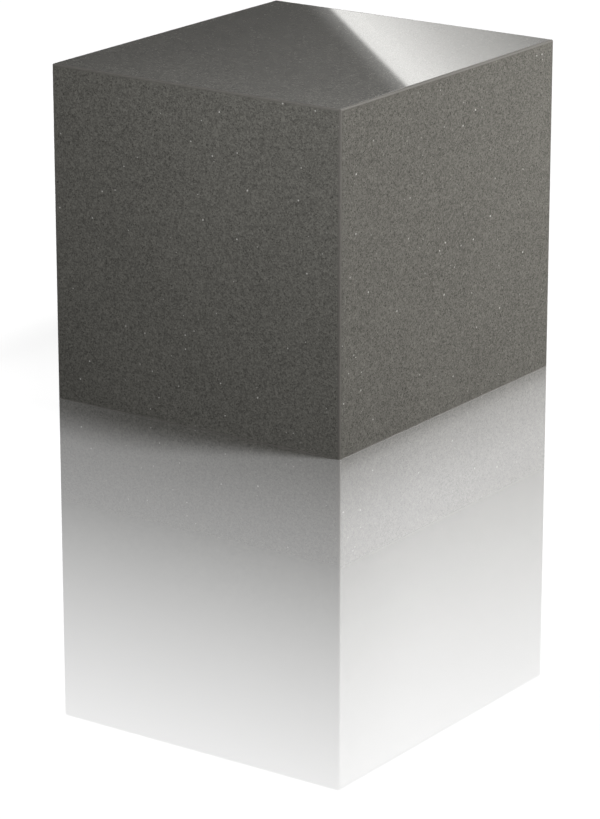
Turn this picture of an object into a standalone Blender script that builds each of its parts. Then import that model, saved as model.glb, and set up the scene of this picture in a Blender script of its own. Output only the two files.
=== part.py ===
"""Display block of polished engineered stone: a closed box of six slabs with mitred edges.

Engineered quartz is made as slabs, so a block is built up from six panels. The four edges of each
panel are cut at 45 degrees. A film of adhesive fills each of the twelve mitres, and a strip sawn from
the same slab is bonded into each inside corner, behind the mitre. When the adhesive has set, the
outside edges are eased to a small radius and polished like the faces. Those round the underside are
left square.

The origin is the centre of the underside, +Z is up and the front panel faces -Y. Metres.
"""

import math

import bmesh
import bpy
from mathutils import Vector

# The finished block.
WIDTH = 0.150  # left to right, along X
DEPTH = 0.165  # front to back, along Y
HEIGHT = 0.150  # underside to top, along Z
SLAB = 0.012  # thickness of the six panels
ARRIS_RADIUS = 0.0008  # the easing on the upright edges and round the top
ARRIS_SEGMENTS = 6
SHARP_ANGLE = math.radians(30)  # above one segment's turn and below a mitre's

# The joints.
ADHESIVE_FILM = 0.0004  # cured thickness in each mitre
BOND_GAP = 0.0003  # clearance kept between two pieces that are bonded together
STRIP_SECTION = 0.012  # side of the square strips
STRIP_CHAMFER = 0.003  # on the strip's edge that faces the mitre, to clear the bead of adhesive

# How far the panels and films start outside the block before they are trimmed to its faces.
TRIM_ALLOWANCE = 0.001

HALF_SIZE = Vector((WIDTH, DEPTH, HEIGHT)) / 2
OUTWARD = {
    "top": Vector((0, 0, 1)),
    "base": Vector((0, 0, -1)),
    "front": Vector((0, -1, 0)),
    "back": Vector((0, 1, 0)),
    "left": Vector((-1, 0, 0)),
    "right": Vector((1, 0, 0)),
}
UPRIGHT_EDGES = (("front", "left"), ("front", "right"), ("back", "left"), ("back", "right"))
LEVEL_EDGES = tuple(
    (level, wall) for level in ("top", "base") for wall in ("front", "back", "left", "right")
)

# Base colour, roughness and metallic value of each material.
POLISHED_STONE = ((0.115, 0.112, 0.102), 0.12, 0.0)
SAWN_STONE = ((0.150, 0.147, 0.138), 0.80, 0.0)
ADHESIVE = ((0.085, 0.076, 0.072), 0.30, 0.0)


def empty_scene():
    for obj in list(bpy.data.objects):
        bpy.data.objects.remove(obj, do_unlink=True)


def new_collection(name):
    collection = bpy.data.collections.new(name)
    bpy.context.scene.collection.children.link(collection)
    return collection


def new_material(name, finish):
    colour, roughness, metallic = finish
    material = bpy.data.materials.new(name)
    material.use_nodes = True
    shader = material.node_tree.nodes["Principled BSDF"]
    shader.inputs["Base Color"].default_value = (*colour, 1.0)
    shader.inputs["Roughness"].default_value = roughness
    shader.inputs["Metallic"].default_value = metallic
    material.diffuse_color = (*colour, 1.0)
    return material


def reach(direction):
    """Distance from the block's centre to its face in the direction of a unit axis."""
    return sum(abs(part) * half for part, half in zip(direction, HALF_SIZE))


def place(name, bm, location, collection, parent, finish):
    """Makes an object of the bmesh, at a location measured from the block's centre."""
    bmesh.ops.recalc_face_normals(bm, faces=bm.faces)
    mesh = bpy.data.meshes.new(name)
    bm.to_mesh(mesh)
    bm.free()
    obj = bpy.data.objects.new(name, mesh)
    obj.location = location
    obj.parent = parent
    if finish:
        mesh.materials.append(new_material(name, finish))
    collection.objects.link(obj)
    return obj


def block_centre(collection):
    """The empty that carries every piece."""
    centre = bpy.data.objects.new("block_centre", None)
    centre.location = (0, 0, HEIGHT / 2)
    collection.objects.link(centre)
    return centre


def finished_outline(collection, parent):
    """The whole block with its eased edges, which trims the panels and the adhesive."""
    bm = bmesh.new()
    bmesh.ops.create_cube(bm, size=2.0)
    bmesh.ops.scale(bm, vec=HALF_SIZE, verts=bm.verts)
    share = bm.edges.layers.float.new("bevel_weight_edge")
    for edge in bm.edges:
        round_base = all(end.co.z < 0 for end in edge.verts)
        edge[share] = 0.0 if round_base else 1.0
    outline = place("finished_outline", bm, Vector(), collection, parent, None)
    easing = outline.modifiers.new("eased_edges", "BEVEL")
    easing.limit_method = "WEIGHT"
    easing.width = ARRIS_RADIUS
    easing.segments = ARRIS_SEGMENTS
    outline.hide_render = True
    outline.display_type = "WIRE"
    return outline


def trim(piece, outline):
    """Cuts the piece to the finished outline, smooth along the eased edges and sharp at the cuts."""
    trimming = piece.modifiers.new("trimmed_to_the_block", "BOOLEAN")
    trimming.operation = "INTERSECT"
    trimming.object = outline
    depsgraph = bpy.context.evaluated_depsgraph_get()
    trimmed = bpy.data.meshes.new_from_object(piece.evaluated_get(depsgraph))
    piece.modifiers.clear()
    untrimmed = piece.data
    piece.data = trimmed
    bpy.data.meshes.remove(untrimmed)
    trimmed.name = piece.name
    trimmed.shade_smooth()
    trimmed.set_sharp_from_angle(angle=SHARP_ANGLE)
    flat_faces = piece.modifiers.new("flat_faces_stay_flat", "WEIGHTED_NORMAL")
    flat_faces.keep_sharp = True


def panel(name, collection, parent, outline):
    """One slab, cut at 45 degrees on all four edges, half a joint back from the mitre planes."""
    outward = OUTWARD[name]
    setback = (ADHESIVE_FILM / 2 + BOND_GAP) * math.sqrt(2)
    bm = bmesh.new()
    bmesh.ops.create_cube(bm, size=2.0)
    for corner in bm.verts:
        side = corner.co.dot(outward)
        depth = -TRIM_ALLOWANCE if side > 0 else SLAB
        across = corner.co - outward * side
        half_span = HALF_SIZE - Vector((1, 1, 1)) * (depth + setback)
        corner.co = across * half_span - outward * depth
    location = outward * reach(outward)
    piece = place(f"{name}_panel", bm, location, collection, parent, POLISHED_STONE)
    trim(piece, outline)
    return piece


def adhesive_line(first, second, collection, parent, outline):
    """The film in the mitre between two panels, from the block's edge to the inside corner."""
    first_out = OUTWARD[first]
    second_out = OUTWARD[second]
    along = first_out.cross(second_out)
    inward = -(first_out + second_out).normalized()
    across = (first_out - second_out).normalized()
    # Where three mitres meet, each film stops as far from the other two as from the panels.
    end_setback = (ADHESIVE_FILM + BOND_GAP) * math.sqrt(2)
    bm = bmesh.new()
    bmesh.ops.create_cube(bm, size=2.0)
    for corner in bm.verts:
        depth = SLAB if corner.co.y > 0 else -TRIM_ALLOWANCE
        half_length = reach(along) - depth - end_setback
        corner.co = (
            along * (corner.co.x * half_length)
            + inward * (depth * math.sqrt(2))
            + across * (corner.co.z * ADHESIVE_FILM / 2)
        )
    location = first_out * reach(first_out) + second_out * reach(second_out)
    piece = place(
        f"{first}_{second}_adhesive", bm, location, collection, parent, ADHESIVE
    )
    trim(piece, outline)
    return piece


def strip(first, second, length, collection, parent):
    """A square strip bonded to the inner faces of two panels, behind their mitre."""
    first_out = OUTWARD[first]
    second_out = OUTWARD[second]
    along = first_out.cross(second_out)
    section = (first_out + second_out) * STRIP_SECTION / 2
    size = section + along * length / 2
    bm = bmesh.new()
    bmesh.ops.create_cube(bm, size=2.0)
    bmesh.ops.scale(bm, vec=[abs(part) for part in size], verts=bm.verts)
    facing_joint = [
        edge
        for edge in bm.edges
        if all(end.co.dot(first_out) > 0 and end.co.dot(second_out) > 0 for end in edge.verts)
    ]
    bmesh.ops.bevel(
        bm, geom=facing_joint, offset=STRIP_CHAMFER, segments=1, affect="EDGES"
    )
    standoff = SLAB + BOND_GAP + STRIP_SECTION / 2
    location = first_out * (reach(first_out) - standoff)
    location += second_out * (reach(second_out) - standoff)
    return place(f"{first}_{second}_strip", bm, location, collection, parent, SAWN_STONE)


def strips(collection, parent):
    """Four uprights from the base to the top, and level strips that fit between them."""
    end = SLAB + BOND_GAP
    for first, second in UPRIGHT_EDGES:
        strip(first, second, 2 * (HALF_SIZE.z - end), collection, parent)
    for level, wall in LEVEL_EDGES:
        along = OUTWARD[level].cross(OUTWARD[wall])
        length = 2 * (reach(along) - end - STRIP_SECTION - BOND_GAP)
        strip(level, wall, length, collection, parent)


def main():
    empty_scene()
    parts = new_collection("engineered_stone_block")
    cutters = new_collection("cutters")
    centre = block_centre(parts)
    outline = finished_outline(cutters, centre)
    for name in OUTWARD:
        panel(name, parts, centre, outline)
    for first, second in UPRIGHT_EDGES + LEVEL_EDGES:
        adhesive_line(first, second, parts, centre, outline)
    strips(parts, centre)


main()
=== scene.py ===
import math

import bmesh
import bpy
from mathutils import Matrix, Vector


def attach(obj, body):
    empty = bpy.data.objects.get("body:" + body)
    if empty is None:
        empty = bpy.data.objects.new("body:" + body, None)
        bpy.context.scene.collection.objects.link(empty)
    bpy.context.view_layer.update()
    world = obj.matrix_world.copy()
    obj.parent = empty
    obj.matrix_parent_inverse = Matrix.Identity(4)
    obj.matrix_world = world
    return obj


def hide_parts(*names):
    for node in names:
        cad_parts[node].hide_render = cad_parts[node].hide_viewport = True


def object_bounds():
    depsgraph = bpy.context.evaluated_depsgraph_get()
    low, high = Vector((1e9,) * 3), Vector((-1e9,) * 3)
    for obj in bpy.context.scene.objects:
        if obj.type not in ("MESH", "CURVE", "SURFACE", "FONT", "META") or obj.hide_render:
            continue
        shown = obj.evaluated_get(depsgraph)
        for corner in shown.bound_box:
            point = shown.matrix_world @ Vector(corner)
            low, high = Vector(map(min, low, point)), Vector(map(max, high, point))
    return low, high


# Seen sizes of the pieces, in metres. The block itself is read from the frame.
SLAB = 0.012
ARRIS_RADIUS = 0.0008
ARRIS_SEGMENTS = 12
SHARP_ANGLE = math.radians(30)
ADHESIVE_FILM = 0.0004
SEAM_CLEARANCE = 0.00002
TRIM_ALLOWANCE = 0.001

# Where the image is laid out for each panel, as shares of its width.
UV_FACE = 0.92
UV_BACK_MIDDLE = 0.975
UV_BACK = 0.04
UV_MITRE_START = 0.035
UV_MITRE = 0.03

# Sizes in the stone, in metres. The two bands are distances from the block's nearest eased edge.
FINE_GRAIN_SIZE = 0.00052
COARSE_GRAIN_SIZE = 0.00085
DARK_GRAIN_SIZE = 0.0010
PALE_GRAIN_SIZE = 0.0011
CHIP_SPACING = 0.0045
CLOUD_SIZE = 0.0025
DRIFT_SIZE = 0.045
SAWN_GRAIN_SIZE = 0.0009
SAWN_DARK_GRAIN_SIZE = 0.0013
GRAIN_BAND = (0.0005, 0.0016)
# The second band is where the painted highlight along each arris fades into the resin.
ARRIS_HIGHLIGHT_BAND = (0.0003, 0.0008)

# Linear colours.
STONE = (0.1050, 0.1024, 0.0926)
DARK_GRAIN = (0.030, 0.0285, 0.0255)
PALE_GRAIN = (0.260, 0.255, 0.235)
# Mirror chips: real chips, their glint painted as this pale colour.
MIRROR_CHIP_GLINT = (0.78, 0.77, 0.74)
EDGE_RESIN = (0.100, 0.0955, 0.088)
# A painted highlight: the pale colour along each arris.
ARRIS_PAINTED_HIGHLIGHT = (0.124, 0.120, 0.110)
SAWN = (0.150, 0.147, 0.138)
# Seam resin colours, paler than the stone: the resin's own colour and a painted highlight along the
# arris.
ADHESIVE_AND_PAINTED_HIGHLIGHT = ((0.116, 0.110, 0.101), (0.132, 0.126, 0.116))
FLOOR_WHITE = (0.9, 0.9, 0.9, 1)
WHITE = (1.0, 1.0, 1.0)
WARM_WHITE = (1.0, 0.983, 0.967)
GLOW_TINT = (1.0, 0.995, 0.970)

# Shares, roughnesses and other plain numbers of the materials.
TOP_CONTRAST = 1.9
DARK_GRAIN_SHARE = 0.80
PALE_GRAIN_SHARE = 0.45
# How strongly the chips' painted glint shows, at its faintest and strongest.
CHIP_GLINT_SHARE = (0.08, 0.44)
STONE_IOR = 1.5
POLISHED_ROUGHNESS = (0.022, 0.030)
ARRIS_ROUGHNESS = 0.40
SAWN_ROUGHNESS = (0.72, 0.86)
ADHESIVE_ROUGHNESS = (0.36, 0.44)
SLAB_OFFSET = Vector((0.37, 0.23, 0.41))

# The share of light that the floor mirrors, at the block and at NEAR. At FAR it mirrors none. Metres to
# the left of the block count as LEFT_FADE of a metre.
MIRROR_AT_BLOCK = 0.89
MIRROR_NEAR = 0.73
NEAR = 0.13
FAR = 0.443
LEFT_FADE = 0.6

# The studio's sizes and distances, in metres.
STUDIO_RADIUS = 5.0
ROOM_RADIUS = 4.0
ROUND_SEGMENTS = 64
FLOOR_GAP = 0.00003
SOFTBOX_AWAY = 0.8
SIDE_CARD_AWAY = 0.9

# The softbox's leaning edge: a point on it, as metres along its card and above the floor, and how fast
# the distance from the edge grows along the card and shrinks with height.
SOFTBOX_CORNER = (0.0173, 0.2958)
SOFTBOX_LEAN = (0.7218, 0.6920)

# Glows.
BACKDROP_GLOW = 1.06
ROOM_GLOW = (0.06, 0.10)
WORLD_GREY = 0.03
SOFTBOX_GLOW = (2.05, 1.15)
SOFTBOX_LAST_DROP = 0.80
SPILL_GLOW = 0.36
WALL_GLOW = (0.07, 0.19)

OUTWARD = {
    "top": Vector((0, 0, 1)),
    "base": Vector((0, 0, -1)),
    "front": Vector((0, -1, 0)),
    "back": Vector((0, 1, 0)),
    "left": Vector((-1, 0, 0)),
    "right": Vector((1, 0, 0)),
}
UPRIGHT_EDGES = [(a, b) for a in ("front", "back") for b in ("left", "right")]
LEVEL_EDGES = [(a, b) for a in ("top", "base") for b in ("front", "back", "left", "right")]

# The camera, measured from the block's centre.
CAMERA_AZIMUTH = math.radians(35.17)
CAMERA_ELEVATION = math.radians(17.66)
CAMERA_DISTANCE = 1.679
CAMERA_ASIDE = -0.0027
CAMERA_BELOW = 0.0839
CAMERA_LENS = 167.9
SENSOR_WIDTH = 36.0


# Material nodes


class Nodes:
    """A material's node tree, with short calls that add a node and wire it."""

    def __init__(self, name):
        self.material = bpy.data.materials.new(name)
        self.material.use_nodes = True
        self.tree = self.material.node_tree
        self.tree.nodes.clear()

    def add(self, kind, inputs=None, **settings):
        node = self.tree.nodes.new(kind)
        for key, value in settings.items():
            setattr(node, key, value)
        for key, value in (inputs or {}).items():
            if isinstance(value, bpy.types.NodeSocket):
                self.tree.links.new(value, node.inputs[key])
            else:
                node.inputs[key].default_value = value
        return node

    def math(self, operation, *values):
        return self.add("ShaderNodeMath", dict(enumerate(values)), operation=operation).outputs[0]

    def ramp(self, value, start, end, low=0.0, high=1.0, shape="LINEAR"):
        node = self.add(
            "ShaderNodeMapRange",
            {0: value, 1: start, 2: end, 3: low, 4: high},
            interpolation_type=shape,
        )
        return node.outputs[0]

    def smooth(self, value, start, end):
        return self.ramp(value, start, end, shape="SMOOTHSTEP")

    def mix(self, share, first, second):
        """Colour: first where share is 0, second where it is 1."""
        colours = [c if isinstance(c, bpy.types.NodeSocket) else (*c, 1.0) for c in (first, second)]
        node = self.add(
            "ShaderNodeMix", {0: share, 6: colours[0], 7: colours[1]}, data_type="RGBA"
        )
        return node.outputs[2]

    def cells(self, where, size):
        """Distance to the nearest cell's point, in cells, and the cell's random numbers."""
        node = self.add("ShaderNodeTexVoronoi", {"Vector": where, "Scale": 1 / size})
        random = self.add("ShaderNodeSeparateColor", {0: node.outputs["Color"]})
        return node.outputs["Distance"], random.outputs

    def specks(self, where, size, radii, softness, channel=0, smallest=0.0):
        """A spot in each cell, 1 inside and 0 outside, and the cell's random numbers.

        The spots' radii run from the first to the second of radii, in cells, and softness says where
        the rim starts and ends. A share of the cells, smallest, keeps the first radius.
        """
        away, random = self.cells(where, size)
        radius = self.ramp(random[channel], smallest, 1, *radii)
        return self.smooth(self.math("SUBTRACT", radius, away), *softness), random

    def noise(self, where, size, detail=2.0):
        node = self.add(
            "ShaderNodeTexNoise", {"Vector": where, "Scale": 1 / size, "Detail": detail}
        )
        return node.outputs[0]

    def place(self, offset=Vector()):
        """The point's place on the object. An offset gives each slab its own grain."""
        place = self.add("ShaderNodeTexCoord").outputs["Object"]
        if not offset.length:
            return place
        return self.add("ShaderNodeVectorMath", {0: place, 1: offset}).outputs[0]

    def parts(self, vector):
        return self.add("ShaderNodeSeparateXYZ", {0: vector}).outputs

    def scaled(self, colour, factor):
        """A colour times a factor that varies over the surface."""
        node = self.add("ShaderNodeVectorMath", {0: colour, "Scale": factor}, operation="SCALE")
        return node.outputs[0]

    def relief(self, height, depth):
        return self.add("ShaderNodeBump", {"Height": height, "Distance": depth}).outputs[0]

    def finish(self, shader):
        output = self.add("ShaderNodeOutputMaterial")
        self.tree.links.new(shader.outputs[0], output.inputs["Surface"])
        return self.material


def depths_in_block(n, low, high):
    """How far the point is inside the side faces, inside the front and back, and below the top."""
    x, y, z = n.parts(n.place())
    depths = []
    for value, least, most in ((x, low.x, high.x), (y, low.y, high.y)):
        away = n.math("ABSOLUTE", n.math("SUBTRACT", value, (least + most) / 2))
        depths.append(n.math("SUBTRACT", (most - least) / 2, away))
    depths.append(n.math("SUBTRACT", high.z, z))
    return depths


def edge_distance(n, low, high):
    """From a point on a face to the block's nearest eased edge."""
    a, b, c = depths_in_block(n, low, high)
    nearer = n.math("MINIMUM", n.math("MAXIMUM", a, b), c)
    return n.math("MAXIMUM", n.math("MINIMUM", a, b), nearer)


def polished_stone(name, offset, low, high, contrast):
    """Crushed quartz in dark resin, with mirror chips whose glints are painted as pale spots. Near the
    arrises there is resin alone, with a painted highlight along each arris.

    A contrast above 1 makes the light and dark of the grain stronger.
    """
    n = Nodes(name)
    where = n.place(offset)
    from_edge = edge_distance(n, low, high)
    inside = n.smooth(from_edge, *GRAIN_BAND)
    # Along each arris a painted highlight, fading into the grain-free resin beside it.
    finish = n.mix(n.smooth(from_edge, *ARRIS_HIGHLIGHT_BAND), ARRIS_PAINTED_HIGHLIGHT, EDGE_RESIN)

    _, fine = n.cells(where, FINE_GRAIN_SIZE)
    _, coarse = n.cells(where, COARSE_GRAIN_SIZE)
    cloud = n.ramp(n.noise(where, CLOUD_SIZE, 3.0), 0.25, 0.75, -0.06, 0.06)
    drift = n.ramp(n.noise(where, DRIFT_SIZE), 0.3, 0.7, -0.03, 0.03)
    lightness = n.math("ADD", n.ramp(fine[0], 0, 1, 0.70, 1.30), n.math("ADD", cloud, drift))
    lightness = n.math("ADD", lightness, n.ramp(coarse[1], 0, 1, -0.16, 0.16))
    stronger = n.math("MULTIPLY", n.math("SUBTRACT", lightness, 1.0), contrast)
    surface = n.mix(inside, finish, n.scaled(STONE, n.math("ADD", 1.0, stronger)))

    dark, _ = n.specks(where, DARK_GRAIN_SIZE, radii=(0.06, 0.30), softness=(-0.03, 0.05))
    dark = n.math("MULTIPLY", dark, inside)
    surface = n.mix(n.math("MULTIPLY", dark, DARK_GRAIN_SHARE), surface, DARK_GRAIN)

    pale, _ = n.specks(
        where, PALE_GRAIN_SIZE, radii=(0, 0.24), softness=(-0.02, 0.03), channel=1, smallest=0.2
    )
    pale = n.math("MULTIPLY", pale, inside)
    surface = n.mix(n.math("MULTIPLY", pale, PALE_GRAIN_SHARE), surface, PALE_GRAIN)

    # Mirror chips, each with a painted glint of random strength, mostly faint.
    chip, random = n.specks(where, CHIP_SPACING, radii=(0.050, 0.095), softness=(-0.006, 0.008))
    chip = n.math("MULTIPLY", chip, inside)
    mostly_faint = n.math("POWER", random[1], 2.2)
    painted_glint = n.ramp(mostly_faint, 0, 1, *CHIP_GLINT_SHARE)
    surface = n.mix(n.math("MULTIPLY", chip, painted_glint), surface, MIRROR_CHIP_GLINT)

    roughness = n.ramp(n.noise(where, 0.012, 3.0), 0.3, 0.7, *POLISHED_ROUGHNESS)
    roughness = n.ramp(inside, 0, 1, ARRIS_ROUGHNESS, roughness)
    relief = n.relief(n.noise(where, 0.03), depth=0.000001)
    shader = n.add(
        "ShaderNodeBsdfPrincipled",
        {"Base Color": surface, "Roughness": roughness, "IOR": STONE_IOR, "Normal": relief},
    )
    return n.finish(shader)


def sawn_stone(name):
    """The same stone as it leaves the saw, dull, with fine blade marks."""
    n = Nodes(name)
    where = n.place()
    _, crystal = n.cells(where, SAWN_GRAIN_SIZE)
    surface = n.scaled(SAWN, n.ramp(crystal[0], 0, 1, 0.80, 1.25))
    dark, _ = n.specks(where, SAWN_DARK_GRAIN_SIZE, radii=(0.10, 0.30), softness=(-0.03, 0.05))
    surface = n.mix(dark, surface, DARK_GRAIN)
    marks = n.add("ShaderNodeTexWave", {"Vector": where, "Scale": 130.0, "Distortion": 1.5})
    shader = n.add(
        "ShaderNodeBsdfPrincipled",
        {
            "Base Color": surface,
            "Roughness": n.ramp(crystal[1], 0, 1, *SAWN_ROUGHNESS),
            "Normal": n.relief(marks.outputs[1], depth=0.00003),
        },
    )
    return n.finish(shader)


def joint_adhesive(name):
    """Cured resin in a mitre, polished flush with the stone."""
    n = Nodes(name)
    where = n.place()
    cloud = n.noise(where, 0.004, 3.0)
    # The resin is paler than the stone: its own colour, lightened as a painted highlight along the
    # arris.
    shader = n.add(
        "ShaderNodeBsdfPrincipled",
        {
            "Base Color": n.mix(cloud, *ADHESIVE_AND_PAINTED_HIGHLIGHT),
            "Roughness": n.ramp(n.noise(where, 0.002), 0.3, 0.7, *ADHESIVE_ROUGHNESS),
            "Normal": n.relief(cloud, depth=0.000002),
        },
    )
    return n.finish(shader)


# Pieces


def new_object(name, bm, material=None):
    mesh = bpy.data.meshes.new(name)
    bm.to_mesh(mesh)
    bm.free()
    obj = bpy.data.objects.new(name, mesh)
    bpy.context.scene.collection.objects.link(obj)
    if material:
        mesh.materials.append(material)
    return obj


def reach(direction, half):
    return sum(abs(part) * size for part, size in zip(direction, half))


def box_mesh():
    bm = bmesh.new()
    bmesh.ops.create_cube(bm, size=2.0)
    return bm


def finished_outline(centre, half):
    """The block with finely rounded arrises, square round the underside, which trims the pieces."""
    bm = box_mesh()
    share = bm.edges.layers.float.new("bevel_weight_edge")
    for edge in bm.edges:
        round_base = all(end.co.z < 0 for end in edge.verts)
        edge[share] = 0.0 if round_base else 1.0
    for corner in bm.verts:
        corner.co = centre + corner.co * half
    outline = new_object("finished_outline", bm)
    easing = outline.modifiers.new("eased_edges", "BEVEL")
    easing.limit_method = "WEIGHT"
    easing.width = ARRIS_RADIUS
    easing.segments = ARRIS_SEGMENTS
    return outline


def trim(piece, outline):
    """Cuts the piece to the rounded block, smooth along the arrises and sharp at the cuts."""
    trimming = piece.modifiers.new("trimmed", "BOOLEAN")
    trimming.operation = "INTERSECT"
    trimming.solver = "EXACT"
    trimming.object = outline
    depsgraph = bpy.context.evaluated_depsgraph_get()
    trimmed = bpy.data.meshes.new_from_object(piece.evaluated_get(depsgraph))
    piece.modifiers.clear()
    untrimmed = piece.data
    piece.data = trimmed
    bpy.data.meshes.remove(untrimmed)
    trimmed.name = piece.name
    trimmed.shade_smooth()
    trimmed.set_sharp_from_angle(angle=SHARP_ANGLE)
    flat_faces = piece.modifiers.new("flat_faces_stay_flat", "WEIGHTED_NORMAL")
    flat_faces.keep_sharp = True


def lay_out(mesh, outward, centre, half):
    """A UV map that gives nearly all of the image to the polished face.

    The mitres are narrow strips along its four sides, and the sawn back is small in one corner.
    """
    axis = max(range(3), key=lambda k: abs(outward[k]))
    across = [k for k in range(3) if k != axis]
    layer = mesh.uv_layers.new(name="OFBake")
    for polygon in mesh.polygons:
        facing = polygon.normal.dot(outward)
        side = max(across, key=lambda k: abs(polygon.normal[k]))
        for loop in polygon.loop_indices:
            point = mesh.vertices[mesh.loops[loop].vertex_index].co - centre
            spot = [0.5 + UV_FACE / 2 * point[k] / half[k] for k in across]
            if facing < -0.9:
                spot = [UV_BACK_MIDDLE + UV_BACK * (s - 0.5) for s in spot]
            elif facing < 0:
                depth = (reach(outward, half) - point.dot(outward)) / SLAB
                strip = UV_MITRE_START - UV_MITRE * depth
                k = across.index(side)
                spot[k] = 1 - strip if polygon.normal[side] > 0 else strip
            layer.data[loop].uv = spot


def panel(name, centre, half, outline, material):
    """One slab, mitred on four edges, half an adhesive film short of the mitre planes."""
    outward = OUTWARD[name]
    setback = (ADHESIVE_FILM / 2 + SEAM_CLEARANCE) * math.sqrt(2)
    bm = box_mesh()
    for corner in bm.verts:
        side = corner.co.dot(outward)
        depth = -TRIM_ALLOWANCE if side > 0 else SLAB
        across = corner.co - outward * side
        span = half - Vector((1, 1, 1)) * (depth + setback)
        corner.co = centre + across * span + outward * (reach(outward, half) - depth)
    piece = new_object(f"{name}_panel_stone", bm, material)
    trim(piece, outline)
    lay_out(piece.data, outward, centre, half)
    return piece


def seam(first, second, centre, half, outline, material):
    """The adhesive in the mitre between two panels, flush with the arris."""
    first_out, second_out = OUTWARD[first], OUTWARD[second]
    along = first_out.cross(second_out)
    inward = -(first_out + second_out).normalized()
    across = (first_out - second_out).normalized()
    edge = centre + first_out * reach(first_out, half) + second_out * reach(second_out, half)
    bm = box_mesh()
    for corner in bm.verts:
        depth = SLAB if corner.co.y > 0 else -TRIM_ALLOWANCE
        half_length = reach(along, half) - depth
        corner.co = (
            edge
            + along * (corner.co.x * half_length)
            + inward * (depth * math.sqrt(2))
            + across * (corner.co.z * ADHESIVE_FILM / 2)
        )
    bmesh.ops.recalc_face_normals(bm, faces=bm.faces)
    piece = new_object(f"{first}_{second}_seam", bm, material)
    trim(piece, outline)
    return piece


# Studio


def aim(obj, position, target):
    """Stands the object at position, its -Z axis towards target, its Y axis as upright as can be."""
    obj.rotation_mode = "QUATERNION"
    obj.location = position
    obj.rotation_quaternion = (Vector(position) - Vector(target)).to_track_quat("Z", "Y")


def area_light(name, position, target, size, power, colour, receivers):
    data = bpy.data.lights.new(name, "AREA")
    data.shape = "SQUARE"
    data.size = size
    data.energy = power
    data.color = colour
    lamp = bpy.data.objects.new(name, data)
    bpy.context.scene.collection.objects.link(lamp)
    aim(lamp, position, target)
    lamp.visible_camera = False
    lamp.visible_glossy = False
    lamp.light_linking.receiver_collection = receivers


def sun_light(name, direction, strength, angle, receivers):
    data = bpy.data.lights.new(name, "SUN")
    data.energy = strength
    data.angle = math.radians(angle)
    lamp = bpy.data.objects.new(name, data)
    bpy.context.scene.collection.objects.link(lamp)
    aim(lamp, direction, (0, 0, 0))
    lamp.light_linking.receiver_collection = receivers


def glow_material(name, strength, tint):
    """Clear except for its glow. strength(n) returns the glow at a point of the card."""
    n = Nodes(name)
    clear = n.add("ShaderNodeBsdfTransparent")
    glow = n.add("ShaderNodeEmission", {"Color": (*tint, 1), "Strength": strength(n)})
    return n.finish(n.add("ShaderNodeAddShader", {0: clear.outputs[0], 1: glow.outputs[0]}))


def card(name, middle, facing, width, bottom, top, material, receivers):
    """An upright glowing card. Its own X runs along it and its own Y is its height above the floor."""
    bm = bmesh.new()
    corners = ((-1, bottom), (1, bottom), (1, top), (-1, top))
    bm.faces.new([bm.verts.new((side * width / 2, height, 0)) for side, height in corners])
    obj = new_object(name, bm, material)
    facing = Vector(facing).normalized()
    along = Vector((0, 0, 1)).cross(facing)
    turn = Matrix((along, (0, 0, 1), facing)).transposed().to_4x4()
    obj.matrix_world = Matrix.Translation(middle) @ turn
    obj.visible_camera = False
    obj.light_linking.receiver_collection = receivers


def dome(name, radius, material, receivers):
    bm = bmesh.new()
    bmesh.ops.create_uvsphere(
        bm, u_segments=ROUND_SEGMENTS, v_segments=ROUND_SEGMENTS // 2, radius=radius
    )
    below = [corner for corner in bm.verts if corner.co.z < -0.01]
    bmesh.ops.delete(bm, geom=below, context="VERTS")
    bmesh.ops.reverse_faces(bm, faces=bm.faces)
    obj = new_object(name, bm, material)
    obj.data.shade_smooth()
    obj.light_linking.receiver_collection = receivers
    return obj


def floor_material(low, high):
    """A white gloss floor that mirrors what is near the block and is plain white farther away.

    Before the front and right faces the distance from the block is counted towards the camera.
    """
    n = Nodes("white_gloss_floor")
    x, y, _ = n.parts(n.place())
    right = n.math("DIVIDE", n.math("SUBTRACT", x, high.x), math.sin(CAMERA_AZIMUTH))
    left = n.math("MULTIPLY", n.math("SUBTRACT", low.x, x), LEFT_FADE)
    before = n.math("DIVIDE", n.math("SUBTRACT", low.y, y), math.cos(CAMERA_AZIMUTH))
    behind = n.math("SUBTRACT", y, high.y)
    away = n.math("MAXIMUM", n.math("MAXIMUM", right, left), n.math("MAXIMUM", before, behind))
    beside = n.ramp(away, 0, NEAR, MIRROR_AT_BLOCK, MIRROR_NEAR)
    mirrored = n.math("SUBTRACT", beside, n.ramp(away, NEAR, FAR, 0, MIRROR_NEAR))
    white = n.add("ShaderNodeBsdfDiffuse", {"Color": FLOOR_WHITE})
    mirror = n.add("ShaderNodeBsdfGlossy", {"Color": (*WHITE, 1), "Roughness": 0.01})
    return n.finish(
        n.add("ShaderNodeMixShader", {0: mirrored, 1: white.outputs[0], 2: mirror.outputs[0]})
    )


def softbox_glow(n):
    """A softbox with a leaning edge and a little spill, which fades to the right, and a dim wall."""
    s, z, _ = n.parts(n.place())
    from_edge = n.math(
        "SUBTRACT",
        n.math("MULTIPLY", n.math("SUBTRACT", s, SOFTBOX_CORNER[0]), SOFTBOX_LEAN[0]),
        n.math("MULTIPLY", n.math("SUBTRACT", z, SOFTBOX_CORNER[1]), SOFTBOX_LEAN[1]),
    )
    lit = n.smooth(from_edge, -0.0020, 0.0014)
    level = n.ramp(from_edge, 0.009, 0.042, *SOFTBOX_GLOW)
    level = n.math("ADD", level, n.ramp(from_edge, 0.042, 0.090, 0, -SOFTBOX_LAST_DROP))
    spill = n.math("MULTIPLY", n.smooth(from_edge, -0.013, 0.001), SPILL_GLOW)
    spill = n.math("MULTIPLY", spill, n.math("SUBTRACT", 1.0, lit))
    across = n.math("ADD", n.math("MULTIPLY", s, 0.0417), n.math("MULTIPLY", z, 0.145))
    wall = n.ramp(across, 0.0424, 0.0530, *WALL_GLOW)
    return n.math("ADD", n.math("MULTIPLY", lit, level), n.math("ADD", spill, wall))


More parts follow.
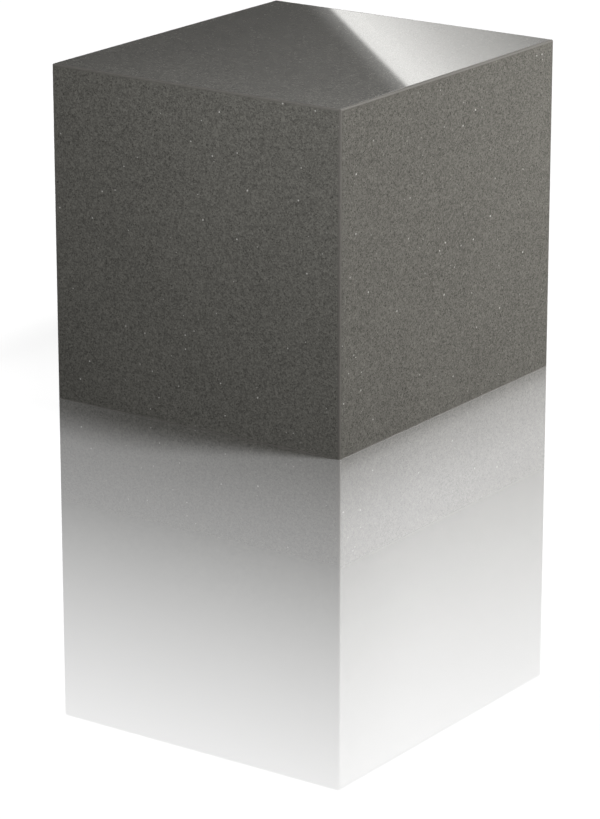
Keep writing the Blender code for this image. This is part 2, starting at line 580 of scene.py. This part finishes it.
def side_glow(n):
    """A window-like card that brightens upwards from a soft leaning edge.

    It is dimmer on its far side, and fades to nothing towards both ends.
    """
    s, z, _ = n.parts(n.place())
    above = n.math("SUBTRACT", z, n.ramp(s, -0.20, 0.20, 0.1733, 0.3693))
    level = n.math("ADD", n.ramp(above, 0, 0.012, 0, 1.75), n.ramp(above, 0.012, 0.047, 0, 1.5))
    level = n.math("ADD", level, n.ramp(above, 0.047, 0.22, 0, 1.6))
    fall = n.math("ADD", n.ramp(above, 0, 0.07, 0, 0.34), n.ramp(above, 0.07, 0.21, 0, 0.29))
    fall = n.math("MULTIPLY", fall, n.ramp(s, 0.025, -0.055))
    level = n.math("MULTIPLY", level, n.math("SUBTRACT", 1.0, fall))
    return n.math("MULTIPLY", level, n.ramp(n.math("ABSOLUTE", s), 0.17, 0.38, 1, 0))


def room_glow(n):
    """A dim room, a little brighter overhead."""
    return n.ramp(n.parts(n.place())[2], 0.0, 5.0, *ROOM_GLOW)


def build_block(frame):
    """The visual pieces, and the block's lowest and highest corner."""
    low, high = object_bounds()
    centre, half = (low + high) / 2, (high - low) / 2
    outline = finished_outline(centre, half)
    adhesive = joint_adhesive("joint_adhesive")
    made = []
    for number, name in enumerate(OUTWARD):
        offset = SLAB_OFFSET * (number + 1)
        contrast = TOP_CONTRAST if name == "top" else 1.0
        stone = polished_stone(f"{name}_polished_stone", offset, low, high, contrast)
        piece = panel(name, centre, half, outline, stone)
        made.append((piece, f"{name}_panel", "polished_stone"))
    for first, second in UPRIGHT_EDGES + LEVEL_EDGES:
        piece = seam(first, second, centre, half, outline, adhesive)
        made.append((piece, f"{first}_{second}_adhesive", "adhesive"))
    bpy.data.objects.remove(outline, do_unlink=True)
    for piece, node, slot in made:
        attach(piece, "root")
        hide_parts(node)
    pieces = [piece for piece, _, _ in made]
    sawn = sawn_stone("sawn_stone")
    for first, second in UPRIGHT_EDGES + LEVEL_EDGES:
        strip = frame["nodes"][f"{first}_{second}_strip"]
        strip.data.materials[0] = sawn
        pieces.append(strip)
    return pieces, low, high


def add_lights(centre, block, ground):
    """Three lamps for the block, then a sun and a small lamp for the floor alone."""
    for name, offset, size, power, colour in (
        ("front_light", (0.150, -0.400, 0.237), 0.20, 1.89, WHITE),
        ("right_light", (0.543, 0.271, 0.180), 0.30, 6.1, WARM_WHITE),
        ("back_fill", (-0.55, 0.25, -0.01), 0.12, 2.5, WHITE),
    ):
        area_light(name, centre + Vector(offset), centre, size, power, colour, block)
    sun_light("floor_sun", (0.476, 0.155, 0.866), strength=4.1, angle=14.0, receivers=ground)
    area_light(
        "floor_fill",
        position=(-0.14, -0.105, 0.06),
        target=(-0.085, -0.085, 0),
        size=0.05,
        power=0.058,
        colour=WHITE,
        receivers=ground,
    )


def build_studio(pieces, low, high):
    scene = bpy.context.scene
    centre = (low + high) / 2
    block = bpy.data.collections.new("lit_block")
    ground = bpy.data.collections.new("lit_floor")
    for piece in pieces:
        block.objects.link(piece)

    bm = bmesh.new()
    bmesh.ops.create_circle(bm, cap_ends=True, segments=ROUND_SEGMENTS, radius=STUDIO_RADIUS)
    floor = new_object("floor", bm, floor_material(low, high))
    floor.location.z = low.z - FLOOR_GAP
    floor.visible_glossy = False
    floor.visible_diffuse = False
    ground.objects.link(floor)

    white = Nodes("white_backdrop")
    white_glow = white.finish(white.add("ShaderNodeEmission", {"Strength": BACKDROP_GLOW}))
    backdrop = dome("backdrop", STUDIO_RADIUS, white_glow, ground)
    backdrop.visible_diffuse = False
    backdrop.visible_shadow = False
    dim_glow = glow_material("room_glow", room_glow, GLOW_TINT)
    room = dome("room_light", ROOM_RADIUS, dim_glow, block)
    room.visible_camera = False

    behind = Vector((-math.sin(CAMERA_AZIMUTH), math.cos(CAMERA_AZIMUTH), 0))
    card(
        "softbox",
        middle=behind * SOFTBOX_AWAY,
        facing=-behind,
        width=1.4,
        bottom=0.20,
        top=0.60,
        material=glow_material("softbox_glow", softbox_glow, GLOW_TINT),
        receivers=block,
    )
    beside = Vector((0.55, 0.835, 0))
    card(
        "side_card",
        middle=beside * SIDE_CARD_AWAY + Vector((0.0418, -0.0275, 0)),
        facing=-beside,
        width=0.80,
        bottom=0.17,
        top=0.62,
        material=glow_material("side_glow", side_glow, WHITE),
        receivers=block,
    )
    add_lights(centre, block, ground)

    world = bpy.data.worlds.new("studio")
    world.use_nodes = True
    grey = (WORLD_GREY, WORLD_GREY, WORLD_GREY, 1)
    world.node_tree.nodes["Background"].inputs["Color"].default_value = grey
    scene.world = world


def build_camera(low, high):
    scene = bpy.context.scene
    centre = Vector((low.x + high.x, low.y + high.y, low.z + high.z)) / 2
    azimuth, elevation = CAMERA_AZIMUTH, CAMERA_ELEVATION
    back = Vector(
        (
            math.sin(azimuth) * math.cos(elevation),
            -math.cos(azimuth) * math.cos(elevation),
            math.sin(elevation),
        )
    )
    right = Vector((math.cos(azimuth), math.sin(azimuth), 0))
    up = back.cross(right)
    data = bpy.data.cameras.new("camera")
    data.lens = CAMERA_LENS
    data.sensor_width = SENSOR_WIDTH
    camera = bpy.data.objects.new("camera", data)
    scene.collection.objects.link(camera)
    camera.matrix_world = Matrix.Translation(
        centre + back * CAMERA_DISTANCE + right * CAMERA_ASIDE - up * CAMERA_BELOW
    ) @ Matrix((right, up, back)).transposed().to_4x4()
    scene.camera = camera


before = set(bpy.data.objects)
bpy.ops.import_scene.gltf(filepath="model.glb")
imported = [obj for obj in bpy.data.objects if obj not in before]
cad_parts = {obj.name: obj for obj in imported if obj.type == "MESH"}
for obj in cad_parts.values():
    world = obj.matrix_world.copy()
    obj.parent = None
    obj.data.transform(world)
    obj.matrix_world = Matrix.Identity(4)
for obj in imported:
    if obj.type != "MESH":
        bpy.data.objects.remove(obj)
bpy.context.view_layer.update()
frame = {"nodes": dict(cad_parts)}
pieces, low, high = build_block(frame)
build_studio(pieces, low, high)
build_camera(low, high)
bpy.context.scene.view_settings.view_transform = "Standard"
